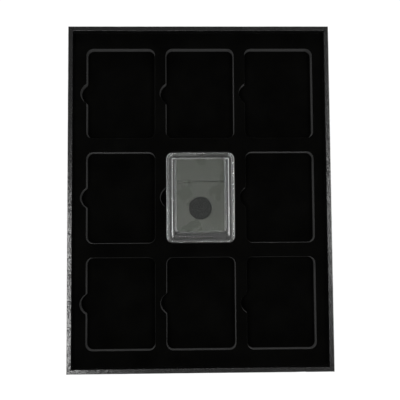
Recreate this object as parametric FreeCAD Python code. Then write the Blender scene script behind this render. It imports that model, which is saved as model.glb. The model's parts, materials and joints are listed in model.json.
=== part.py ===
# Nine-seat tray for slabbed coins: a greyboard tray wrapped in leatherette, a flocked vacuum-formed
# insert with a finger notch at each seat, and one clear snap-together slab in the middle seat.
# Millimetres, +Z up. The origin is the centre of the underside, +Y points to the back edge,
# and the slab's label end faces +Y.
import FreeCAD, Part
import math
import os

Vector = FreeCAD.Vector
near = 1e-4

# Slab: two clear half shells around a core plate
slab_width = 63.5
slab_length = 83.0
slab_thickness = 8.0
slab_corner_radius = 5.8
slab_edge_bevel = 1.0
slab_wall = 2.2
slab_skin = 1.4
ridge_width = 5.0
window_recess = 0.7
side_border = 9.3
label_end_border = 5.6
coin_end_border = 9.6
chamber_rib = 1.2
chamber_corner_radius = 4.0
tongue_width = 0.8
tongue_height = 0.7
tongue_clearance = 0.08
pry_notch_width = 5.0
pry_notch_depth = 0.6
pry_notch_height = 0.7

# Core plate that centres the coin
core_side_clearance = 0.15
core_headroom = 0.2
label_recess_length = 21.2
label_recess_depth = 0.8
coin_diameter = 21.2
coin_clearance = 0.1
coin_drop = 1.2
coin_bevel = 0.5

# Seats in the insert
columns = 3
rows = 3
seat_side_clearance = 0.12
seat_end_clearance = 0.6
seat_depth = 7.6
seat_draft = 5.0
notch_radius = 9.0
notch_depth = 6.4
notch_blend = 1.8
notch_web = 2.77
row_web = 12.07
seat_shift = 0.75  # all the seats lie this far to the right, away from the notches

# Insert sheet
sheet = 1.0
notch_margin = 2.93
row_margin = 13.83
skirt_draft = 3.0
skirt_edge_bevel = 0.9
insert_corner_radius = 3.0
insert_gap = 0.3

# Board tray and its covering
tray_height = 17.5
wall_board = 2.8
base_board = 2.4
board_edge_radius = 0.4
leather = 0.5
turn_under = 12.0
lining = 0.3
lining_inset = 2.5
stay_thickness = 0.15
stay_leg = 12.0
stay_end_margin = 1.0

# Heights of the stacked layers
turn_under_bottom = lining
base_bottom = turn_under_bottom + leather
base_top = base_bottom + base_board
seat_floor = base_top + sheet
deck_top = seat_floor + seat_depth
wall_top = tray_height - leather

# Plan sizes, worked outwards from the slab
seat_inset = seat_depth * math.tan(math.radians(seat_draft))
seat_width = slab_width + 2 * (seat_side_clearance + seat_inset)
seat_length = slab_length + 2 * (seat_end_clearance + seat_inset)
seat_corner_radius = slab_corner_radius + seat_inset
column_pitch = seat_width + notch_depth + notch_web
row_pitch = seat_length + row_web
skirt_inset = (deck_top - base_top) * math.tan(math.radians(skirt_draft))
deck_width = (columns - 1) * column_pitch + seat_width + 2 * (notch_depth + notch_margin)
deck_length = (rows - 1) * row_pitch + seat_length + 2 * row_margin
rim = wall_board + 2 * leather
tray_width = deck_width + 2 * (skirt_inset + insert_gap + rim)
tray_length = deck_length + 2 * (skirt_inset + insert_gap + rim)

# Slab heights and the chamber that holds the core
slab_bottom = seat_floor
slab_parting = slab_bottom + slab_thickness / 2
slab_top = slab_bottom + slab_thickness
chamber_floor = slab_bottom + window_recess + slab_skin
chamber_height = slab_thickness - 2 * (window_recess + slab_skin)
chamber_width = slab_width - 2 * side_border
chamber_length = slab_length - label_end_border - coin_end_border
chamber_centre_y = (coin_end_border - label_end_border) / 2


def rounded_rectangle(width, length, radius, z, centre_y=0.0):
    """Closed wire of a rectangle with round corners, centred on X and at centre_y."""
    half_w, half_l = width / 2, length / 2
    diagonal = radius * (1 - math.sqrt(0.5))
    edges = []
    corners = ((1, -1), (1, 1), (-1, 1), (-1, -1))
    for index, (sx, sy) in enumerate(corners):
        beside = Vector(sx * half_w, centre_y + sy * (half_l - radius), z)
        beyond = Vector(sx * (half_w - radius), centre_y + sy * half_l, z)
        middle = Vector(sx * (half_w - diagonal), centre_y + sy * (half_l - diagonal), z)
        first, last = (beyond, beside) if sx * sy < 0 else (beside, beyond)
        edges.append(Part.Arc(first, middle, last).toShape())
        next_x, next_y = corners[(index + 1) % 4]
        if next_x == sx:
            following = Vector(sx * half_w, centre_y + next_y * (half_l - radius), z)
        else:
            following = Vector(next_x * (half_w - radius), centre_y + sy * half_l, z)
        edges.append(Part.LineSegment(last, following).toShape())
    return Part.Wire(edges)


def rounded_plate(width, length, radius, bottom, top, centre_y=0.0):
    """Upright prism over a rounded rectangle."""
    outline = rounded_rectangle(width, length, radius, bottom, centre_y)
    return Part.Face(outline).extrude(Vector(0, 0, top - bottom))


def box(width, length, bottom, top):
    """Upright box centred on the origin in plan."""
    return Part.makeBox(width, length, top - bottom, Vector(-width / 2, -length / 2, bottom))


def edges_at(shape, z):
    """Edges of the shape that lie wholly at one height."""
    return [e for e in shape.Edges if abs(e.BoundBox.ZMin - z) < near and abs(e.BoundBox.ZMax - z) < near]


def seat_arcs(inset):
    """Round parts of one seat's outline, drawn in by inset: centre, radius, start and sweep, anticlockwise.

    The finger notch is on -X, with a small blend where it meets the seat's side on either hand.
    """
    corner_x = seat_width / 2 - seat_corner_radius
    corner_y = seat_length / 2 - seat_corner_radius
    notch_x = notch_radius - notch_depth - seat_width / 2
    blend_x = -seat_width / 2 - notch_blend
    blend_y = math.sqrt((notch_radius + notch_blend) ** 2 - (notch_x - blend_x) ** 2)
    turn = math.degrees(math.atan2(blend_y, notch_x - blend_x))
    corner = seat_corner_radius - inset
    notch = notch_radius - inset
    blend = notch_blend + inset
    return [
        (corner_x, -corner_y, corner, -90, 90),
        (corner_x, corner_y, corner, 0, 90),
        (-corner_x, corner_y, corner, 90, 90),
        (blend_x, blend_y, blend, 0, -turn),
        (notch_x, 0, notch, 180 - turn, 2 * turn),
        (blend_x, -blend_y, blend, turn, -turn),
        (-corner_x, -corner_y, corner, 180, 90),
    ]


def on_arc(arc, share, z):
    """Point at a share of an arc's sweep, at one height."""
    x, y, radius, start, sweep = arc
    angle = math.radians(start + share * sweep)
    return Vector(x + radius * math.cos(angle), y + radius * math.sin(angle), z)


def seat_outline(inset, z):
    """Closed wire of one seat, drawn in by inset all round."""
    arcs = seat_arcs(inset)
    edges = []
    for arc, following in zip(arcs, arcs[1:] + arcs[:1]):
        first, middle, last = [on_arc(arc, share, z) for share in (0, 0.5, 1)]
        edges.append(Part.Arc(first, middle, last).toShape())
        ahead = on_arc(following, 0, z)
        if not last.isEqual(ahead, near):
            edges.append(Part.LineSegment(last, ahead).toShape())
    return Part.Wire(edges)


def seat_inset_at(z):
    """How far the drafted seat wall stands inside its outline at the deck, at one height."""
    return (deck_top - z) * math.tan(math.radians(seat_draft))


def seat_cavity():
    """Space of one seat, with drafted walls."""
    wires = [seat_outline(seat_inset_at(z), z) for z in (seat_floor, deck_top)]
    return Part.makeLoft(wires, True, True)


def seat_cup():
    """Outside of one seat's walls and floor, under the deck."""
    wires = [seat_outline(seat_inset_at(z) - sheet, z) for z in (base_top, deck_top)]
    return Part.makeLoft(wires, True, True)


def seat_places():
    """Plan centres of the seats, by column and then by row."""
    for column in range(columns):
        for row in range(rows):
            yield Vector(
                (column - (columns - 1) / 2) * column_pitch + seat_shift,
                (row - (rows - 1) / 2) * row_pitch,
                0,
            )


def at_seats(form):
    """One compound with a copy of the form at every seat."""
    copies = []
    for place in seat_places():
        copy = form.copy()
        copy.translate(place)
        copies.append(copy)
    return Part.makeCompound(copies)


def skirted_block(inward, top, edge_bevel):
    """Block with drafted sides and a bevelled top edge, drawn in from the insert's outline."""
    taper = math.tan(math.radians(skirt_draft))
    wires = []
    for z, inset in ((base_top, inward), (top - edge_bevel, inward), (top, inward + edge_bevel)):
        grow = 2 * ((deck_top - z) * taper - inset)
        radius = insert_corner_radius + skirt_inset - inset
        wires.append(rounded_rectangle(deck_width + grow, deck_length + grow, radius, z))
    return Part.makeLoft(wires, True, True)


def flocked_insert():
    """One formed sheet: deck, seats with drafted walls, and a skirt that stands on the base board."""
    deck = skirted_block(0, deck_top, skirt_edge_bevel)
    underside = skirted_block(sheet, deck_top - sheet, skirt_edge_bevel / 2).cut(at_seats(seat_cup()))
    return deck.cut(at_seats(seat_cavity())).cut(underside)


def base_panel():
    """Bottom board, with its lower edges eased for the covering."""
    panel = box(tray_width - 2 * leather, tray_length - 2 * leather, base_bottom, base_top)
    return panel.makeFillet(board_edge_radius, edges_at(panel, base_bottom))


def side_wall(side):
    """Full-length wall board on -X (side -1) or +X (side 1)."""
    x = side * (tray_width / 2 - leather - wall_board / 2)
    wall = box(wall_board, tray_length - 2 * leather, base_top, wall_top)
    wall = wall.makeFillet(board_edge_radius, edges_at(wall, wall_top))
    wall.translate(Vector(x, 0, 0))
    return wall


def end_wall(end):
    """Wall board between the two side walls, on -Y (end -1) or +Y (end 1)."""
    y = end * (tray_length / 2 - leather - wall_board / 2)
    length = tray_width - 2 * (leather + wall_board)
    wall = box(length, wall_board, base_top, wall_top)
    long_edges = [e for e in edges_at(wall, wall_top) if e.BoundBox.XLength > wall_board]
    wall = wall.makeFillet(board_edge_radius, long_edges)
    wall.translate(Vector(0, y, 0))
    return wall


def corner_stays():
    """Paper tapes that hold the wall boards together at the four outer corners."""
    half_w = tray_width / 2 - leather
    half_l = tray_length / 2 - leather
    bottom = base_bottom + stay_end_margin
    height = wall_top - stay_end_margin - bottom
    leg = stay_leg + stay_thickness
    corner = Vector(-half_w - stay_thickness, -half_l - stay_thickness, bottom)
    along_x = Part.makeBox(leg, stay_thickness, height, corner)
    along_y = Part.makeBox(stay_thickness, leg, height, corner)
    tape = along_x.fuse(along_y).removeSplitter()
    tapes = []
    for flip_x in (False, True):
        for flip_y in (False, True):
            copy = tape.copy()
            if flip_x:
                copy = copy.mirror(Vector(), Vector(1, 0, 0))
            if flip_y:
                copy = copy.mirror(Vector(), Vector(0, 1, 0))
            tapes.append(copy)
    return Part.makeCompound(tapes)


def wrap_section():
    """Section of the covering on the -Y wall: out from under the base, up, over the rim and down inside."""
    outer = board_edge_radius + leather
    inner = board_edge_radius
    top, bottom = tray_height, turn_under_bottom
    front = -tray_length / 2

    def point(depth, z):
        return Vector(0, front + depth, z)

    def arc(depth, z, radius, start, end):
        angles = [math.radians(a) for a in (start, (start + end) / 2, end)]
        return Part.Arc(*[point(depth + radius * math.cos(a), z + radius * math.sin(a)) for a in angles])

    def line(first, last):
        return Part.LineSegment(point(*first), point(*last))

    curves = [
        line((rim, base_top), (rim, top - outer)),
        arc(rim - outer, top - outer, outer, 0, 90),
        line((rim - outer, top), (outer, top)),
        arc(outer, top - outer, outer, 90, 180),
        line((0, top - outer), (0, bottom + outer)),
        arc(outer, bottom + outer, outer, 180, 270),
        line((outer, bottom), (turn_under, bottom)),
        line((turn_under, bottom), (turn_under, base_bottom)),
        line((turn_under, base_bottom), (outer, base_bottom)),
        arc(outer, base_bottom + inner, inner, 270, 180),
        line((leather, base_bottom + inner), (leather, wall_top - inner)),
        arc(outer, wall_top - inner, inner, 180, 90),
        line((outer, wall_top), (rim - outer, wall_top)),
        arc(rim - outer, wall_top - inner, inner, 90, 0),
        line((rim - leather, wall_top - inner), (rim - leather, base_top)),
        line((rim - leather, base_top), (rim, base_top)),
    ]
    return Part.Face(Part.Wire([curve.toShape() for curve in curves]))


def wrap_strip(length, offset):
    """Covering of one wall, mitred at both ends; built on -Y, offset moves it to the wall's distance."""
    run = wrap_section().extrude(Vector(length, 0, 0))
    run.translate(Vector(-length / 2, tray_length / 2 - offset, 0))
    half = length / 2
    plan = [(-half, -offset), (half, -offset), (half - turn_under, turn_under - offset)]
    plan.append((turn_under - half, turn_under - offset))
    corners = [Vector(x, y, 0) for x, y in plan]
    mitre = Part.Face(Part.makePolygon(corners + corners[:1])).extrude(Vector(0, 0, tray_height))
    return run.common(mitre)


def wraps(stays):
    """The four covering strips by name, relieved where the corner stays lie under them."""
    strips = {}
    turns = (("front", 0), ("right", 90), ("back", 180), ("left", 270))
    for name, turn in turns:
        across = turn % 180 == 0
        length = tray_width if across else tray_length
        offset = (tray_length if across else tray_width) / 2
        strip = wrap_strip(length, offset)
        strip.rotate(Vector(), Vector(0, 0, 1), turn)
        strips["wrap_" + name] = strip.cut(stays)
    return strips


def base_lining():
    """Paper under the tray: it covers the turned-in edges and is pressed up onto the board between them."""
    full = box(tray_width - 2 * lining_inset, tray_length - 2 * lining_inset, 0, lining)
    between_w = tray_width - 2 * turn_under
    between_l = tray_length - 2 * turn_under
    raised = box(between_w, between_l, lining, base_bottom)
    hollow = box(between_w - 2 * lining, between_l - 2 * lining, 0, base_bottom - lining)
    return full.fuse(raised).cut(hollow).removeSplitter()


def ring(outer_inset, width, bottom, top):
    """Rounded frame that follows the slab's outline, between two distances from its edge."""
    parts = []
    for inset in (outer_inset, outer_inset + width):
        parts.append(rounded_plate(
            slab_width - 2 * inset,
            slab_length - 2 * inset,
            slab_corner_radius - inset,
            bottom,
            top,
        ))
    return parts[0].cut(parts[1])


def half_shell():
    """Lower half of the slab: ridge, sunk window, edge wall, channel and the rib round the chamber."""
    shell = rounded_plate(slab_width, slab_length, slab_corner_radius, slab_bottom, slab_parting)
    shell = shell.makeChamfer(slab_edge_bevel, edges_at(shell, slab_bottom))
    window = []
    for inset, z in ((ridge_width, slab_bottom), (ridge_width + window_recess, slab_bottom + window_recess)):
        radius = max(slab_corner_radius - inset, slab_edge_bevel)
        window.append(rounded_rectangle(slab_width - 2 * inset, slab_length - 2 * inset, radius, z))
    shell = shell.cut(Part.makeLoft(window, True, True))
    channel = rounded_plate(
        slab_width - 2 * slab_wall,
        slab_length - 2 * slab_wall,
        slab_corner_radius - slab_wall,
        chamber_floor,
        slab_parting,
    )
    rib = rounded_plate(
        chamber_width + 2 * chamber_rib,
        chamber_length + 2 * chamber_rib,
        chamber_corner_radius + chamber_rib,
        chamber_floor,
        slab_parting,
        chamber_centre_y,
    )
    chamber = rounded_plate(
        chamber_width,
        chamber_length,
        chamber_corner_radius,
        chamber_floor,
        slab_parting,
        chamber_centre_y,
    )
    pry = Part.makeBox(
        pry_notch_width,
        2 * pry_notch_depth,
        pry_notch_height,
        Vector(-pry_notch_width / 2, slab_length / 2 - pry_notch_depth, slab_parting - pry_notch_height),
    )
    return shell.cut(channel.cut(rib)).cut(chamber).cut(pry)


def slab_rear_shell():
    """Lower half with the groove in its edge wall."""
    groove_width = tongue_width + 2 * tongue_clearance
    start = (slab_wall - groove_width) / 2
    depth = tongue_height + tongue_clearance
    return half_shell().cut(ring(start, groove_width, slab_parting - depth, slab_parting))


def slab_front_shell():
    """Upper half with the tongue that snaps into the groove."""
    shell = half_shell().mirror(Vector(0, 0, slab_parting), Vector(0, 0, 1))
    tongue = ring((slab_wall - tongue_width) / 2, tongue_width, slab_parting - tongue_height, slab_parting)
    return shell.fuse(tongue).removeSplitter()


def slab_core():
    """Plate that fills the chamber, thinner under the label and bored for the coin."""
    width = chamber_width - 2 * core_side_clearance
    length = chamber_length - 2 * core_side_clearance
    radius = chamber_corner_radius - core_side_clearance
    top = chamber_floor + chamber_height - core_headroom
    plate = rounded_plate(width, length, radius, chamber_floor, top, chamber_centre_y)
    label_end = chamber_centre_y + length / 2
    step = label_end - label_recess_length
    label = Part.makeBox(
        width,
        label_recess_length,
        label_recess_depth,
        Vector(-width / 2, step, top - label_recess_depth),
    )
    coin_field = chamber_centre_y - length / 2
    coin_y = (coin_field + step) / 2 - coin_drop
    bore_radius = coin_diameter / 2 + coin_clearance
    bore = Part.makeCylinder(bore_radius, chamber_height, Vector(0, coin_y, chamber_floor))
    bevel = Part.makeCone(
        bore_radius,
        bore_radius + coin_bevel,
        coin_bevel,
        Vector(0, coin_y, top - coin_bevel),
    )
    return plate.cut(label).cut(bore).cut(bevel)


def in_middle_seat(slab):
    """The slab's pieces by name, moved from the origin into the middle seat."""
    for shape in slab.values():
        shape.translate(Vector(seat_shift, 0, 0))
    return slab


def all_pieces():
    """Every piece by node name."""
    stays = corner_stays()
    pieces = {
        "base_board": base_panel(),
        "wall_left": side_wall(-1),
        "wall_right": side_wall(1),
        "wall_front": end_wall(-1),
        "wall_back": end_wall(1),
        "corner_stays": stays,
        "base_lining": base_lining(),
        "flocked_insert": flocked_insert(),
    }
    pieces.update(in_middle_seat({
        "slab_rear_shell": slab_rear_shell(),
        "slab_core": slab_core(),
        "slab_front_shell": slab_front_shell(),
    }))
    pieces.update(wraps(stays))
    return pieces


def main():
    os.makedirs("parts", exist_ok=True)
    for name, shape in all_pieces().items():
        solids = shape.Solids
        print(f"{name}: {len(solids)} solid(s), {shape.Volume:.1f} mm3, valid {shape.isValid()}")
        shape.exportStep(f"parts/{name}.step")
    print(f"tray {tray_width:.1f} x {tray_length:.1f} x {tray_height:.1f} mm")


if __name__ == "__main__":
    main()
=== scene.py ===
import json
import math
import bmesh
import bpy
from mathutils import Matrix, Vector


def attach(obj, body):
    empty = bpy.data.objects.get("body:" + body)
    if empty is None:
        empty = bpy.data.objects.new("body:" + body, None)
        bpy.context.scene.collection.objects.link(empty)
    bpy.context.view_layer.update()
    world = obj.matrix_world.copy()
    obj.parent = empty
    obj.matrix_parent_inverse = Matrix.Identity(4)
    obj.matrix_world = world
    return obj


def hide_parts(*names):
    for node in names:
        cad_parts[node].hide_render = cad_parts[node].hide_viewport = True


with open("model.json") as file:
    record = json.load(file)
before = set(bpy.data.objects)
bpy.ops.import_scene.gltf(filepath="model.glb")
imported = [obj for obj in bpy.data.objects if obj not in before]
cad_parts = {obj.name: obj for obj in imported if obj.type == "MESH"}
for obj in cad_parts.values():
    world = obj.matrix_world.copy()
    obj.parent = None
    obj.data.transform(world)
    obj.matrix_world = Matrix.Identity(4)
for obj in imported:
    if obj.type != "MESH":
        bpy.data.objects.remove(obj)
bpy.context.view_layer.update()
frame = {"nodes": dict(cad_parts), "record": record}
nodes = frame["nodes"]

millimetre = 0.001  # pieces are drawn in millimetres and scaled when they are finished


class Wire:  # one socket of a finish; sums on it add Math nodes
    def __init__(self, tree, socket=None):
        self.tree = tree
        self.socket = socket

    def node(self, kind, settings=None, sockets=None, out=0):
        made = self.tree.nodes.new(kind)
        for key, value in (settings or {}).items():
            setattr(made, key, value)
        for key, value in (sockets or {}).items():
            if isinstance(value, Wire):
                self.tree.links.new(value.socket, made.inputs[key])
            else:
                made.inputs[key].default_value = value
        return Wire(self.tree, made.outputs[out] if len(made.outputs) else None)

    def sum(self, operation, first, second=0.0):
        return self.node("ShaderNodeMath", {"operation": operation}, {0: first, 1: second})

    def larger(self, other):
        return self.sum("MAXIMUM", self, other)

    def __abs__(self):
        return self.sum("ABSOLUTE", self)

    def __add__(self, other):
        return self.sum("ADD", self, other)

    def __radd__(self, other):
        return self.sum("ADD", other, self)

    def __sub__(self, other):
        return self.sum("SUBTRACT", self, other)

    def __rsub__(self, other):
        return self.sum("SUBTRACT", other, self)

    def __mul__(self, other):
        return self.sum("MULTIPLY", self, other)

    def __rmul__(self, other):
        return self.sum("MULTIPLY", other, self)

    def __pow__(self, other):
        return self.sum("POWER", self, other)


def newFinish(name):
    material = bpy.data.materials.new(name)
    material.use_nodes = True
    material.node_tree.nodes.clear()
    return material, Wire(material.node_tree)


def inMillimetres(wire):
    place = wire.node("ShaderNodeTexCoord", out="Object")
    return wire.node("ShaderNodeVectorMath", {"operation": "SCALE"}, {0: place, "Scale": 1 / millimetre})


def along(vector, axis):
    return vector.node("ShaderNodeSeparateXYZ", None, {0: vector}, out=axis)


def levelness(wire):  # 1 on level faces, 0 on upright walls
    return abs(along(wire.node("ShaderNodeTexCoord", out="Normal"), "Z"))


def noise(place, scale, detail=2.0, roughness=0.5):  # scale is per millimetre
    sockets = {"Vector": place, "Scale": scale, "Detail": detail, "Roughness": roughness}
    return place.node("ShaderNodeTexNoise", {"noise_dimensions": "3D"}, sockets)


def between(value, low, high, first=0.0, last=1.0):  # from first to last while the value goes from low to high
    sockets = {"Value": value, 1: low, 2: high, 3: first, 4: last}
    return value.node("ShaderNodeMapRange", {"interpolation_type": "SMOOTHSTEP"}, sockets)


def shades(factor, first, last):  # 6 and 7 are the Mix node's colours
    return factor.node("ShaderNodeMix", {"data_type": "RGBA"}, {0: factor, 6: first, 7: last}, out=2)


def bump(height, distance, strength=1.0):
    return height.node("ShaderNodeBump", None, {"Height": height, "Distance": distance, "Strength": strength})


def surface(wire, sockets):
    shader = wire.node("ShaderNodeBsdfPrincipled", None, sockets)
    wire.node("ShaderNodeOutputMaterial", None, {"Surface": shader})


# numbers in brackets: a noise's scale, detail and roughness, or the limits that between takes
flock = {
    "deep": (0.0004, 0.0004, 0.00035, 1),
    "raised": (0.001, 0.001, 0.0009, 1),
    "drawn": (0.02, 0.02, 0.02, 1),  # painted sheen: the seat walls are coloured lighter than the deck, standing in for the light they catch at a grazing view
    "pile": (2.6, 3.0, 0.6),  # tufts
    "nap": (0.035, 3.0, 0.55),  # brushed patches
    "napShare": 0.6,
    "pileShare": 0.4,
    "tone": (0.3, 0.7),
    "walls": (0.2, 0.8, 1.0, 0.0),
    "roughness": (0.2, 0.8, 0.86, 1.0),
    "sheen": 0.045,
    "sheenRoughness": 0.43,
    "depth": 0.0002,
    "relief": 0.7,
}


def makeFlock():
    material, wire = newFinish("blackFlock")
    place = inMillimetres(wire)
    pile = noise(place, *flock["pile"])
    nap = noise(place, *flock["nap"])
    tone = between(nap * flock["napShare"] + pile * flock["pileShare"], *flock["tone"])
    # painted sheen: the walls mask gives upright faces the lighter wall colour
    walls = between(levelness(wire), *flock["walls"])
    surface(wire, {
        "Base Color": shades(walls, shades(tone, flock["deep"], flock["raised"]), flock["drawn"]),
        "Roughness": between(pile, *flock["roughness"]),
        "Specular IOR Level": 0.0,
        "Sheen Weight": flock["sheen"],
        "Sheen Roughness": flock["sheenRoughness"],
        "Sheen Tint": (1, 1, 1, 1),
        "Normal": bump(pile, flock["depth"], flock["relief"]),
    })
    return material


leather = {
    "valley": (0.0012, 0.0012, 0.0012, 1),
    "pebble": (0.003, 0.003, 0.003, 1),
    "grain": 1.0,  # pebbles per millimetre
    "dome": 1.4,
    "domePower": 2.0,
    "drift": (0.5, 2.0),
    "fine": (4.0, 3.0, 0.6),
    "patch": (0.06, 2.0),
    "pebbleShare": 0.8,
    "patchShare": 0.2,
    "roughness": (0.4, 0.9, 0.45, 0.25),
    "patchRoughness": 0.03,
    "gloss": 0.1,
    "index": 1.5,
    "rubbed": (0.45, 0.85, 0.12, 0.9),  # tops rubbed shiny
    "coatRoughness": 0.2,
    "depth": 0.00014,
    "fineDepth": 0.03,
}


def makeLeatherette():
    material, wire = newFinish("blackLeatherette")
    place = inMillimetres(wire)
    drift = noise(place, *leather["drift"])
    bent = wire.node("ShaderNodeVectorMath", {"operation": "ADD"}, {0: place, 1: drift})
    settings = {"voronoi_dimensions": "3D", "feature": "F1"}
    reach = wire.node("ShaderNodeTexVoronoi", settings, {"Vector": bent, "Scale": leather["grain"]})
    pebble = 1.0 - leather["dome"] * reach ** leather["domePower"]
    fine = noise(place, *leather["fine"])
    patch = noise(place, *leather["patch"])
    tone = pebble * leather["pebbleShare"] + patch * leather["patchShare"]
    surface(wire, {
        "Base Color": shades(tone, leather["valley"], leather["pebble"]),
        "Roughness": between(pebble, *leather["roughness"]) + leather["patchRoughness"] * patch,
        "Specular IOR Level": leather["gloss"],
        "IOR": leather["index"],
        "Coat Weight": between(pebble, *leather["rubbed"]),
        "Coat Roughness": leather["coatRoughness"],
        "Normal": bump(pebble + leather["fineDepth"] * fine, leather["depth"]),
    })
    return material


clear = {
    "tint": (0.95, 0.965, 0.955, 1),
    "index": 1.5,
    "flow": (0.05, 1.0),  # slow waves left by the mould
    "flowDepth": 0.0004,
    "flowRelief": 0.35,
    "haze": (0.6, 4.0, 0.65),
    "polish": (0.45, 0.8, 0.015, 0.05),
    "satin": 0.3,  # roughness of the satin places
    "frost": 0.15,  # how white they are: partly satin frost, partly painted highlight for the bright edge lines
    "frostAndPaintedHighlightShade": (0.8, 0.8, 0.8, 1),
    "frostRoughness": 0.5,
    "walls": (0.8, 0.97, 1.0, 0.0),  # satin on walls and slopes, polished on level faces
    "parting": 8.2,
    "weld": (0.8, 1.1, 0.6, 0.0),  # satin beside the parting
    "middle": (0.75, 2.0),
    "window": (23.2, 34.7),  # half its size, polished inside
    "border": (0.0, 0.8, 0.0, 0.13),
    "ends": (-1.5, 1.5, 0.35, 1.0),  # less satin at the window's ends than down its long sides, so the long sides get more painted highlight
}


def makeClear():
    material, wire = newFinish("clearPlastic")
    place = inMillimetres(wire)
    flow = noise(place, *clear["flow"])
    haze = noise(place, *clear["haze"])
    walls = between(levelness(wire), *clear["walls"])
    weld = between(abs(along(place, "Z") - clear["parting"]), *clear["weld"])
    pastSide = abs(along(place, "X") - clear["middle"][0]) - clear["window"][0]
    pastEnd = abs(along(place, "Y") - clear["middle"][1]) - clear["window"][1]
    border = between(pastSide.larger(pastEnd), *clear["border"])
    satin = walls.larger(weld).larger(border) * between(pastSide - pastEnd, *clear["ends"])
    glass = wire.node("ShaderNodeBsdfPrincipled", None, {
        "Base Color": clear["tint"],
        "Roughness": between(haze, *clear["polish"]) + clear["satin"] * satin,
        "IOR": clear["index"],
        "Transmission Weight": 1.0,
        "Normal": bump(flow, clear["flowDepth"], clear["flowRelief"]),
    })
    frost = wire.node("ShaderNodeBsdfPrincipled", None, {
        "Base Color": clear["frostAndPaintedHighlightShade"],
        "Roughness": clear["frostRoughness"],
    })
    # painted highlight: white frost mixed in where satin, partly real satin frost, whiter down the long sides than
    # at the ends
    mixed = wire.node("ShaderNodeMixShader", None, {0: clear["frost"] * satin, 1: glass, 2: frost})
    wire.node("ShaderNodeOutputMaterial", None, {"Surface": mixed})
    return material


frosted = {
    "pale": (0.067, 0.071, 0.062, 1),
    "dull": (0.055, 0.059, 0.05, 1),
    "index": 1.45,
    "gloss": 0.3,
    "cloud": (0.07, 3.0),
    "grit": (3.0, 2.0),
    "roughness": (0.3, 0.7, 0.24, 0.36),
    "depth": 0.00004,
    "relief": 0.5,
}


def makeFrosted():
    material, wire = newFinish("frostedPlastic")
    place = inMillimetres(wire)
    cloud = noise(place, *frosted["cloud"])
    grit = noise(place, *frosted["grit"])
    surface(wire, {
        "Base Color": shades(cloud, frosted["dull"], frosted["pale"]),
        "Roughness": between(cloud, *frosted["roughness"]),
        "IOR": frosted["index"],
        "Specular IOR Level": frosted["gloss"],
        "Normal": bump(grit, frosted["depth"], frosted["relief"]),
    })
    return material


board = {
    "grey": (0.3, 0.285, 0.26, 1),
    "fleck": (0.44, 0.42, 0.38, 1),
    "fibre": (1.6, 5.0, 0.7),
    "tone": (0.3, 0.7),
    "roughness": 0.92,
    "depth": 0.00008,
    "relief": 0.6,
}


def makeBoard():
    material, wire = newFinish("greyboard")
    fibre = noise(inMillimetres(wire), *board["fibre"])
    surface(wire, {
        "Base Color": shades(between(fibre, *board["tone"]), board["grey"], board["fleck"]),
        "Roughness": board["roughness"],
        "Normal": bump(fibre, board["depth"], board["relief"]),
    })
    return material


stayPaper = {
    "brown": (0.42, 0.31, 0.19, 1),
    "pale": (0.55, 0.43, 0.29, 1),
    "fibre": (2.2, 5.0, 0.7),
    "tone": (0.3, 0.7),
    "roughness": 0.8,
    "depth": 0.00003,
    "relief": 0.6,
}


def makeStayPaper():
    material, wire = newFinish("stayPaper")
    fibre = noise(inMillimetres(wire), *stayPaper["fibre"])
    surface(wire, {
        "Base Color": shades(between(fibre, *stayPaper["tone"]), stayPaper["brown"], stayPaper["pale"]),
        "Roughness": stayPaper["roughness"],
        "Normal": bump(fibre, stayPaper["depth"], stayPaper["relief"]),
    })
    return material


liningPaper = {
    "black": (0.012, 0.012, 0.013, 1),
    "grey": (0.03, 0.03, 0.031, 1),
    "fibre": (1.8, 5.0, 0.65),
    "tone": (0.35, 0.75),
    "roughness": (0.2, 0.8, 0.62, 0.78),
    "depth": 0.00005,
    "relief": 0.5,
}


def makeLiningPaper():
    material, wire = newFinish("liningPaper")
    fibre = noise(inMillimetres(wire), *liningPaper["fibre"])
    surface(wire, {
        "Base Color": shades(between(fibre, *liningPaper["tone"]), liningPaper["black"], liningPaper["grey"]),
        "Roughness": between(fibre, *liningPaper["roughness"]),
        "Normal": bump(fibre, liningPaper["depth"], liningPaper["relief"]),
    })
    return material


finishes = {
    "black_flock": makeFlock(),
    "leatherette": makeLeatherette(),
    "clear_plastic": makeClear(),
    "frosted_plastic": makeFrosted(),
    "greyboard": makeBoard(),
    "stay_paper": makeStayPaper(),
    "lining_paper": makeLiningPaper(),
}
for part in frame["record"]["subparts"]:
    mesh = nodes[part["node"]].data
    mesh.materials.clear()
    mesh.materials.append(finishes[part["material_slot"]])
print("finishes:", len(finishes))


def openMesh():
    bpy.ops.object.mode_set(mode="EDIT")


def closeMesh():
    bpy.ops.object.mode_set(mode="OBJECT")


def makeActive(piece):
    bpy.ops.object.select_all(action="DESELECT")
    piece.select_set(True)
    bpy.context.view_layer.objects.active = piece


def begin(name, addPrimitive=bpy.ops.mesh.primitive_plane_add):  # one millimetre wide, opened for editing
    bpy.ops.object.select_all(action="DESELECT")
    addPrimitive(size=1.0)
    piece = bpy.context.object
    piece.name = name
    piece.data.name = name
    openMesh()
    return piece


def pickAll():
    bpy.ops.mesh.select_all(action="SELECT")


def pickNone():
    bpy.ops.mesh.select_all(action="DESELECT")


def pick(kind, test):  # selects what passes the test, by place and normal
    bpy.ops.mesh.select_mode(type=kind)
    pickNone()
    shape = bmesh.from_edit_mesh(bpy.context.edit_object.data)
    for part in {"VERT": shape.verts, "EDGE": shape.edges, "FACE": shape.faces}[kind]:
        if test(part):
            part.select_set(True)
    shape.select_flush_mode()
    bmesh.update_edit_mesh(bpy.context.edit_object.data)


def near(value, goal, slack=0.01):
    return abs(value - goal) < slack


def allAt(part, axis, goal):
    return all(near(corner.co[axis], goal) for corner in part.verts)


def pull(x=0.0, y=0.0, z=0.0):
    bpy.ops.mesh.extrude_region_move(TRANSFORM_OT_translate={"value": (x, y, z)})


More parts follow.
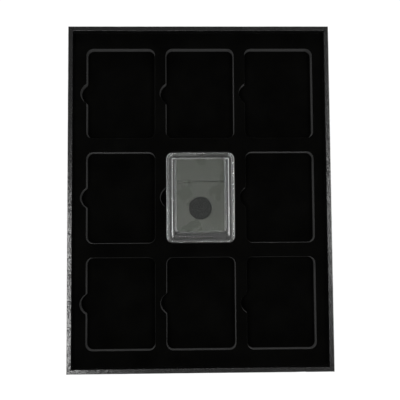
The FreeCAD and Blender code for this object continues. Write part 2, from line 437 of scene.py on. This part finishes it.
def shift(x=0.0, y=0.0, z=0.0):
    bpy.ops.transform.translate(value=(x, y, z))


def stretch(x=1.0, y=1.0, z=1.0):
    bpy.ops.transform.resize(value=(x, y, z))


def stretchFrom(centre, x=1.0, y=1.0, z=1.0):
    bpy.ops.transform.resize(value=(x, y, z), center_override=centre)


def step(inwards, down=0.0):
    bpy.ops.mesh.inset(thickness=inwards, depth=down, use_boundary=True, use_even_offset=True)


def roundVerts(radius, segments):
    bpy.ops.mesh.bevel(offset=radius, segments=segments, affect="VERTICES", clamp_overlap=False)


def roundEdges(radius, segments):
    bpy.ops.mesh.bevel(offset=radius, segments=segments, affect="EDGES", clamp_overlap=False)


def cutAt(place, normal, **settings):
    pickAll()
    bpy.ops.mesh.bisect(plane_co=place, plane_no=normal, threshold=0.0001, **settings)


def leaveEdges():  # of the faces that are selected
    bpy.ops.mesh.delete(type="ONLY_FACE")


def faceOut():
    pickAll()
    bpy.ops.mesh.normals_make_consistent(inside=False)


def applied(piece, kind, **settings):  # a modifier, set and applied
    modifier = piece.modifiers.new(kind.lower(), kind)
    for key, value in settings.items():
        setattr(modifier, key, value)
    makeActive(piece)
    bpy.ops.object.modifier_apply(modifier=modifier.name)


shading = {"smoothAngle": 35.0, "flatWeight": 100, "easedAngle": 40.0}


def eased(piece, width, clamped):  # softens every sharp edge
    applied(piece, "BEVEL", width=width, segments=3, limit_method="ANGLE",
            angle_limit=math.radians(shading["easedAngle"]), use_clamp_overlap=clamped)


def finished(piece, body, slotName, node):
    if piece.mode == "EDIT":
        closeMesh()
    makeActive(piece)
    piece.scale = (millimetre, millimetre, millimetre)
    bpy.ops.object.transform_apply(location=True, rotation=True, scale=True)
    bpy.ops.object.shade_smooth_by_angle(angle=math.radians(shading["smoothAngle"]))
    applied(piece, "WEIGHTED_NORMAL", keep_sharp=True, weight=shading["flatWeight"])
    piece.data.materials.clear()
    piece.data.materials.append(finishes[slotName])
    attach(piece, body)
    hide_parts(node)
    print(piece.name, "has", len(piece.data.polygons), "faces")


seat = {
    "width": 63.9, "length": 84.6, "corner": 6.4,  # where the lip meets the deck
    "notchDepth": 5.6, "notchRadius": 10.2, "notchBlend": 1.6,
    "deck": 11.8, "floor": 4.2, "slope": 88.4, "lip": 0.2, "foot": 1.2,
    "count": 3, "pitch": (73.5, 97.1), "web": 0.6, "shift": 0.75,
    "arcSteps": 9, "blendSteps": 5, "lipSteps": 4, "footSteps": 6, "deckCuts": 11,
    "hair": 0.02, "merge": 0.06,  # keeps the notch's two arcs apart, then joins them
}
sheet = {
    "width": 232.0, "length": 308.2, "corner": 2.8, "cornerSteps": 8, "edge": 0.25, "edgeSteps": 4,
    "bottom": 3.2, "draft": 0.3, "thickness": 1.0, "margin": 0.05, "sharp": 0.7,  # sharp is in radians
}


def roundStep(radius, start, end, count):  # a wall that turns from one slope to another, by small steps inwards
    for index in range(count):
        first, last = [math.radians(start + (end - start) * (index + ahead) / count) for ahead in (0, 1)]
        step(radius * abs(math.sin(last) - math.sin(first)), -radius * abs(math.cos(last) - math.cos(first)))


def drawOutline():  # the seat's opening, with the notch on its left
    half = seat["width"] / 2
    notchX = seat["notchRadius"] - seat["notchDepth"] - half  # centre of the notch's arc
    blendX = -half - seat["notchBlend"]  # centre of the arc that leads into it
    blendY = math.sqrt((seat["notchRadius"] + seat["notchBlend"]) ** 2 - (notchX - blendX) ** 2)
    reach = math.tan(math.atan2(blendY, notchX - blendX) / 2)
    mouth = blendY - seat["notchBlend"] * reach
    back = seat["notchRadius"] * reach
    stretch(seat["width"], seat["length"])
    shift(z=seat["deck"])
    pick("EDGE", lambda e: allAt(e, 0, -half))
    bpy.ops.mesh.subdivide(number_cuts=4)  # two points for the mouth of the notch, two for its back
    for side in (-1, 1):
        far, close = [side * share * seat["length"] for share in (0.3, 0.1)]  # where the cuts are
        pick("VERT", lambda v: near(v.co.x, -half) and near(v.co.y, far))
        shift(0, side * mouth - far)
        pick("VERT", lambda v: near(v.co.x, -half) and near(v.co.y, close))
        shift(-seat["notchDepth"], side * back - close)
    pick("VERT", lambda v: near(v.co.x, -half - seat["notchDepth"]))
    roundVerts(back - seat["hair"], seat["arcSteps"])
    pick("VERT", lambda v: near(v.co.x, -half) and near(abs(v.co.y), mouth))
    roundVerts(seat["notchBlend"] * reach, seat["blendSteps"])
    pick("VERT", lambda v: near(abs(v.co.x), half) and near(abs(v.co.y), seat["length"] / 2))
    roundVerts(seat["corner"], seat["arcSteps"])
    pickAll()
    bpy.ops.mesh.remove_doubles(threshold=seat["merge"])


def makeSeat():  # one seat and the deck round it
    piece = begin("flockedInsert")
    drawOutline()
    pick("FACE", lambda f: True)
    slope = math.radians(seat["slope"])
    wall = seat["deck"] - seat["floor"] - (seat["lip"] + seat["foot"]) * (1 - math.cos(slope))
    roundStep(seat["lip"], 0.0, seat["slope"], seat["lipSteps"])
    step(wall / math.tan(slope), -wall)
    roundStep(seat["foot"], seat["slope"], 0.0, seat["footSteps"])
    left = -seat["width"] / 2 - seat["notchDepth"] - seat["web"]
    pickNone()
    bpy.ops.mesh.primitive_plane_add(size=1.0)
    stretch(seat["pitch"][0], seat["pitch"][1])
    shift(left + seat["pitch"][0] / 2, 0, seat["deck"])
    leaveEdges()
    pick("EDGE", lambda e: len(e.link_faces) == 0)
    bpy.ops.mesh.subdivide(number_cuts=seat["deckCuts"])
    pick("EDGE", lambda e: allAt(e, 2, seat["deck"]))
    bpy.ops.mesh.fill(use_beauty=True)
    closeMesh()
    return piece, left


def makeDeck():  # all seats, with the deck drawn out to its edge and down
    piece, left = makeSeat()
    count, pitch = seat["count"], seat["pitch"]
    for axis in (0, 1):
        offset = [0.0, 0.0, 0.0]
        offset[axis] = pitch[axis]
        applied(piece, "ARRAY", count=count, use_relative_offset=False, use_constant_offset=True,
                constant_offset_displace=offset, use_merge_vertices=True, merge_threshold=0.01)
    openMesh()
    pickAll()
    middle = (count - 1) / 2
    shift(seat["shift"] - middle * pitch[0], -middle * pitch[1])
    low = seat["shift"] - middle * pitch[0] + left
    sides = ((low, low + count * pitch[0]), (-count / 2 * pitch[1], count / 2 * pitch[1]))
    goals = (sheet["width"] / 2, sheet["length"] / 2)
    for axis, ends in enumerate(sides):
        for end, sign in zip(ends, (-1, 1)):
            pick("EDGE", lambda e: e.is_boundary and allAt(e, axis, end))
            grow = [0.0, 0.0]
            grow[axis] = sign * goals[axis] - end
            pull(*grow)
    pick("VERT", lambda v: near(abs(v.co.x), goals[0]) and near(abs(v.co.y), goals[1]))
    roundVerts(sheet["corner"], sheet["cornerSteps"])
    pick("EDGE", lambda e: e.is_boundary)
    pull(z=sheet["bottom"] - seat["deck"])
    stretchFrom((0, 0, 0), 1 + sheet["draft"] / goals[0], 1 + sheet["draft"] / goals[1])
    faceOut()
    return piece


def makeInsert():
    piece = makeDeck()
    outerX = sheet["width"] / 2 - sheet["corner"] - sheet["margin"]
    outerY = sheet["length"] / 2 - sheet["corner"] - sheet["margin"]

    def onEdge(edge):
        atEdge = all(abs(v.co.x) > outerX or abs(v.co.y) > outerY for v in edge.verts)
        return atEdge and allAt(edge, 2, seat["deck"]) and edge.calc_face_angle(0.0) > sheet["sharp"]

    pick("EDGE", onEdge)
    roundEdges(sheet["edge"], sheet["edgeSteps"])
    closeMesh()
    applied(piece, "SOLIDIFY", thickness=sheet["thickness"], offset=-1.0, use_even_offset=False)
    finished(piece, "tray", "black_flock", "flocked_insert")


slab = {
    "width": 62.9, "length": 82.9, "corner": 5.8, "cornerSteps": 10, "edge": 1.3, "edgeSteps": 5,
    "bottom": 4.2, "parting": 8.2, "channel": 6.3, "air": 0.03, "shift": 0.75, "middleY": 2.0,
    "ridge": 5.0, "recess": 0.7, "merge": 0.2, "wall": 2.2,
    "tongue": 0.8, "tongueHeight": 0.7, "groove": 0.96, "grooveDepth": 0.78,
    "ribWidth": 47.3, "ribLength": 70.2, "ribCorner": 5.2, "rib": 1.2,
    "pry": (5.0, 4.0, 0.9), "splay": 1.5, "easing": 0.12,
}


def roundedPlane(width, length, corner, z, middleY=0.0):  # made of the plane that is selected
    stretch(width, length)
    shift(0, middleY, z)
    bpy.ops.mesh.select_mode(type="VERT")
    roundVerts(corner, slab["cornerSteps"])


def cutPryNotch(piece):  # cuts the tongue too, and opens out towards the parting
    middle = (0, slab["length"] / 2, slab["parting"])
    cutter = begin("pryNotch", bpy.ops.mesh.primitive_cube_add)
    stretch(slab["pry"][0], slab["pry"][1], 2 * slab["pry"][2])
    shift(*middle)
    pick("FACE", lambda f: f.normal.z > 0.9)
    stretchFrom(middle, slab["splay"])
    closeMesh()
    applied(piece, "BOOLEAN", operation="DIFFERENCE", object=cutter, solver="EXACT")
    bpy.data.objects.remove(cutter)


def makeShell(name, node, body, upper):  # drawn as the lower half, turned over for the upper one
    depth = slab["parting"] - slab["channel"]
    piece = begin(name)
    roundedPlane(slab["width"], slab["length"], slab["corner"], slab["parting"])
    pick("FACE", lambda f: True)
    pull(z=slab["bottom"] - slab["parting"])
    faceOut()
    pick("EDGE", lambda e: allAt(e, 2, slab["bottom"]))
    roundEdges(slab["edge"], slab["edgeSteps"])
    pick("FACE", lambda f: allAt(f, 2, slab["bottom"]))
    step(slab["ridge"] - slab["edge"])
    step(slab["recess"], -slab["recess"])
    pick("VERT", lambda v: near(v.co.z, slab["bottom"] + slab["recess"]))
    bpy.ops.mesh.remove_doubles(threshold=slab["merge"])  # square corners leave the easing room
    joint, height = slab["groove"], -slab["grooveDepth"]
    if upper:
        joint, height = slab["tongue"], slab["tongueHeight"]
    land = (slab["wall"] - joint) / 2
    pick("FACE", lambda f: allAt(f, 2, slab["parting"]))
    step(land)
    pull(z=height)
    step(joint)
    pull(z=-height)
    step(land)
    pull(z=-depth)
    leaveEdges()
    pickNone()
    bpy.ops.mesh.primitive_plane_add(size=1.0)
    roundedPlane(slab["ribWidth"], slab["ribLength"], slab["ribCorner"], slab["channel"], slab["middleY"])
    pick("FACE", lambda f: allAt(f, 2, slab["channel"]))
    leaveEdges()
    pick("EDGE", lambda e: allAt(e, 2, slab["channel"]))
    bpy.ops.mesh.fill(use_beauty=True)  # the channel between wall and rib
    pick("EDGE", lambda e: e.is_boundary)
    bpy.ops.mesh.edge_face_add()
    pull(z=depth)
    step(slab["rib"])
    pull(z=-depth)
    faceOut()
    closeMesh()
    cutPryNotch(piece)
    eased(piece, slab["easing"], clamped=False)
    openMesh()
    pickAll()
    if upper:
        stretchFrom((0, 0, slab["parting"]), z=-1)
        shift(z=slab["air"])
        faceOut()
    shift(slab["shift"])
    finished(piece, body, "clear_plastic", node)


core = {
    "width": 44.6, "length": 67.5, "corner": 3.85, "bottom": 6.33, "labelTop": 9.1, "top": 9.9, "label": 20.2,
    "bore": 10.7, "boreSides": 64, "boreBevel": 0.4, "boreSteps": 3, "drop": 1.7,
    "bar": 1.1, "slot": 0.9, "slotDepth": 1.1, "slotDraft": 0.1,  # they divide the label from the coin
    "rim": 0.6, "rimSteps": 4, "easing": 0.35, "margin": 0.05,
    "flat": 0.5, "sharp": 1.0,  # flat is in degrees, sharp in radians
}


def makeCore():
    front, back = [slab["middleY"] + side * core["length"] / 2 for side in (-1, 1)]
    edge = back - core["label"]
    coinY = (front + edge) / 2 - core["drop"]
    barY = edge - core["bar"]
    slotY = barY - core["slot"] / 2
    piece = begin("slabCore")
    roundedPlane(core["width"], core["length"], core["corner"], core["bottom"], slab["middleY"])
    cutAt((0, edge, 0), (0, 1, 0))
    pick("FACE", lambda f: f.calc_center_median().y < edge)
    leaveEdges()
    bpy.ops.mesh.primitive_circle_add(vertices=core["boreSides"], radius=core["bore"],
                                      location=(0, coinY, core["bottom"]))

    def roundCoin(part):  # the open outline of the coin's half, and the bore
        inFront = all(v.co.y < edge + 0.01 for v in part.verts)
        return part.is_boundary and inFront or len(part.link_faces) == 0

    pick("EDGE", roundCoin)
    bpy.ops.mesh.fill(use_beauty=True)
    pickAll()
    pull(z=core["labelTop"] - core["bottom"])
    faceOut()
    pick("FACE", lambda f: allAt(f, 2, core["labelTop"]) and f.calc_center_median().y < edge)
    pull(z=core["top"] - core["labelTop"])
    faceOut()
    for place in (barY, barY - core["slot"]):
        cutAt((0, place, 0), (0, 1, 0))

    def inSlot(face):
        return allAt(face, 2, core["top"]) and near(face.calc_center_median().y, slotY, core["slot"] / 2)

    pick("FACE", inSlot)
    step(core["slotDraft"], -core["slotDepth"])
    pickAll()
    bpy.ops.mesh.dissolve_limited(angle_limit=math.radians(core["flat"]))

    def onBore(part):
        reaches = [math.hypot(v.co.x, v.co.y - coinY) for v in part.verts]
        return allAt(part, 2, core["top"]) and all(near(reach, core["bore"]) for reach in reaches)

    pick("EDGE", onBore)
    roundEdges(core["boreBevel"], core["boreSteps"])

    def onOutline(vert):  # along both sides, round the front corners and along the front
        side, corner = abs(vert.co.x), core["corner"]
        atCorner = near(side, core["width"] / 2, corner) and near(vert.co.y, front, corner)
        return atCorner or near(side, core["width"] / 2) or near(vert.co.y, front)

    def onRim(part):
        heights = [v.co.z for v in part.verts]
        level = near(*heights) and sum(heights) / 2 > core["labelTop"] - core["margin"]
        return level and part.calc_face_angle(0.0) > core["sharp"] and all(onOutline(v) for v in part.verts)

    pick("EDGE", onRim)
    roundEdges(core["rim"], core["rimSteps"])
    closeMesh()
    eased(piece, core["easing"], clamped=True)
    openMesh()
    pickAll()
    shift(slab["shift"])
    finished(piece, "slab", "frosted_plastic", "slab_core")


wrap = {
    "width": 241.3, "length": 317.5, "height": 17.5, "rim": 4.25, "under": 12.0, "bottom": 0.3, "inside": 3.2,
    "bend": 0.4, "bendSteps": 5, "thickness": 0.45, "mitre": 0.03, "cuts": 90, "ripple": 16.0, "wave": 0.14,
    "lap": 26.0, "lapStep": 0.22, "lapRun": 9.0, "lapEdge": 0.08, "lapStart": 0.05,
}


def makeStrip(length, reach):  # on the front wall, turned to its own wall afterwards
    front = -reach / 2
    piece = begin("strip")
    stretch(length, wrap["under"])
    shift(0, front + wrap["under"] / 2, wrap["bottom"])
    pick("EDGE", lambda e: allAt(e, 1, front))
    pull(z=wrap["height"] - wrap["bottom"])
    pull(y=wrap["rim"])
    pull(z=wrap["inside"] - wrap["height"])
    nearlyAll = length * 0.9
    pick("EDGE", lambda e: len(e.link_faces) == 2 and e.calc_length() > nearlyAll)
    roundEdges(wrap["bend"], wrap["bendSteps"])
    pick("EDGE", lambda e: e.calc_length() > nearlyAll)
    bpy.ops.mesh.subdivide(number_cuts=wrap["cuts"])
    for side in (-1, 1):
        corner = (side * (length / 2 - wrap["mitre"]), front, 0)
        cutAt(corner, (-side, -1, 0), clear_inner=True)
    faceOut()
    closeMesh()
    return piece


def copied(first, name):
    makeActive(first)
    bpy.ops.object.duplicate(linked=False)
    piece = bpy.context.object
    piece.name = name
    piece.data.name = name
    return piece


def addLap(length):  # one end of the strip lies over the other, near the right corner
    seam = length / 2 - wrap["lap"]
    openMesh()
    for place in (seam, seam - wrap["lapEdge"]):
        cutAt((place, 0, 0), (1, 0, 0))
    columns = {round(v.co.x, 3) for v in bmesh.from_edit_mesh(bpy.context.edit_object.data).verts}
    for column in sorted(c for c in columns if seam - wrap["lapRun"] < c < seam - wrap["lapStart"]):
        pick("VERT", lambda v: near(v.co.x, column, 0.002))
        bpy.ops.transform.shrink_fatten(value=-wrap["lapStep"] * (1 - (seam - column) / wrap["lapRun"]))
    closeMesh()


def makeStrips():
    ripple = bpy.data.textures.new("ripple", "CLOUDS")
    ripple.noise_scale = wrap["ripple"]
    pairs = (
        (wrap["width"], wrap["length"], {"front": 0, "back": 180}),
        (wrap["length"], wrap["width"], {"right": 90, "left": 270}),
    )
    for length, reach, places in pairs:
        first = makeStrip(length, reach)
        for place, turn in places.items():
            piece = copied(first, "wrap" + place.capitalize())
            if place == "front":
                addLap(length)
            piece.rotation_euler = (0, 0, math.radians(turn))
            applied(piece, "DISPLACE", texture=ripple, texture_coords="GLOBAL", mid_level=1.0, strength=wrap["wave"])
            applied(piece, "SOLIDIFY", thickness=wrap["thickness"], offset=-1.0)
            finished(piece, "tray", "leatherette", "wrap_" + place)
        bpy.data.objects.remove(first)


makeInsert()
makeShell("slabRearShell", "slab_rear_shell", "slab", False)
makeShell("slabFrontShell", "slab_front_shell", "slab_front", True)
makeCore()
makeStrips()


stage = {
    "floor": 12.0, "backdrop": 2.4, "drop": 0.0002, "white": 0.9, "glow": 0.86,
    "sky": (0.99, 1.0, 0.98, 1), "world": 0.26,
}


def makeFloor():
    bpy.ops.object.select_all(action="DESELECT")
    bpy.ops.mesh.primitive_plane_add(size=stage["floor"], location=(0, 0, -stage["drop"]))
    floor = bpy.context.object
    floor.name = "floor"
    openMesh()
    pull(z=stage["backdrop"])  # its sides are the backdrop
    leaveEdges()  # open above
    closeMesh()
    material, wire = newFinish("whiteFloor")
    white = (stage["white"], stage["white"], stage["white"], 1)
    lit = wire.node("ShaderNodeBsdfDiffuse", None, {"Color": white})
    glow = wire.node("ShaderNodeEmission", None, {"Color": (1, 1, 1, 1), "Strength": 1.0})
    kinds = ("Is Camera Ray", "Is Glossy Ray", "Is Transmission Ray")
    seen, shone, through = [wire.node("ShaderNodeLightPath", out=kind) for kind in kinds]
    share = stage["glow"] * seen.larger(shone).larger(through)
    mixed = wire.node("ShaderNodeMixShader", None, {0: share, 1: lit, 2: glow})
    wire.node("ShaderNodeOutputMaterial", None, {"Surface": mixed})
    floor.data.materials.append(material)


def makeWorld():
    world = bpy.data.worlds.new("studio")
    world.use_nodes = True
    sky = world.node_tree.nodes["Background"]
    sky.inputs["Color"].default_value = stage["sky"]
    sky.inputs["Strength"].default_value = stage["world"]
    bpy.context.scene.world = world


lamps = {
    "softLeft": {"place": (-0.5, -0.2, 1.05), "aim": (-0.1, -0.16, 0), "size": (0.5, 0.38), "power": 12.5},
    "softRight": {"place": (0.57, 0.03, 1.0), "aim": (0.1, 0.03, 0), "size": (0.42, 0.28), "power": 10.0},
    "lowBack": {"place": (0.0, 1.2, 0.5), "aim": (0, 0, 0), "size": (0.6, 0.4), "power": 9.5},
    "lowFront": {"place": (0.0, -1.2, 0.5), "aim": (0, 0, 0), "size": (0.6, 0.4), "power": 7.0},
}


def makeLamps():
    for name, setup in lamps.items():
        lamp = bpy.data.lights.new(name, "AREA")
        lamp.shape = "RECTANGLE"
        lamp.size, lamp.size_y = setup["size"]
        lamp.energy = setup["power"]
        holder = bpy.data.objects.new(name, lamp)
        bpy.context.scene.collection.objects.link(holder)
        holder.location = setup["place"]
        away = holder.location - Vector(setup["aim"])
        holder.rotation_euler = away.to_track_quat("Z", "Y").to_euler()


camera = {
    "lens": 54.0, "sensor": 36.0, "nearest": 0.01,
    "place": (-0.01081, -0.03445, 0.5643), "turn": (0.0579, -0.0196, -0.0069),
}


def makeCamera():
    eye = bpy.data.cameras.new("camera")
    eye.lens = camera["lens"]
    eye.sensor_width = camera["sensor"]
    eye.clip_start = camera["nearest"]
    holder = bpy.data.objects.new("camera", eye)
    holder.location = camera["place"]
    holder.rotation_euler = camera["turn"]
    bpy.context.scene.collection.objects.link(holder)
    bpy.context.scene.camera = holder


makeFloor()
makeWorld()
makeLamps()
makeCamera()
bpy.context.scene.view_settings.view_transform = "Standard"
print("stage, lamps and camera are set")
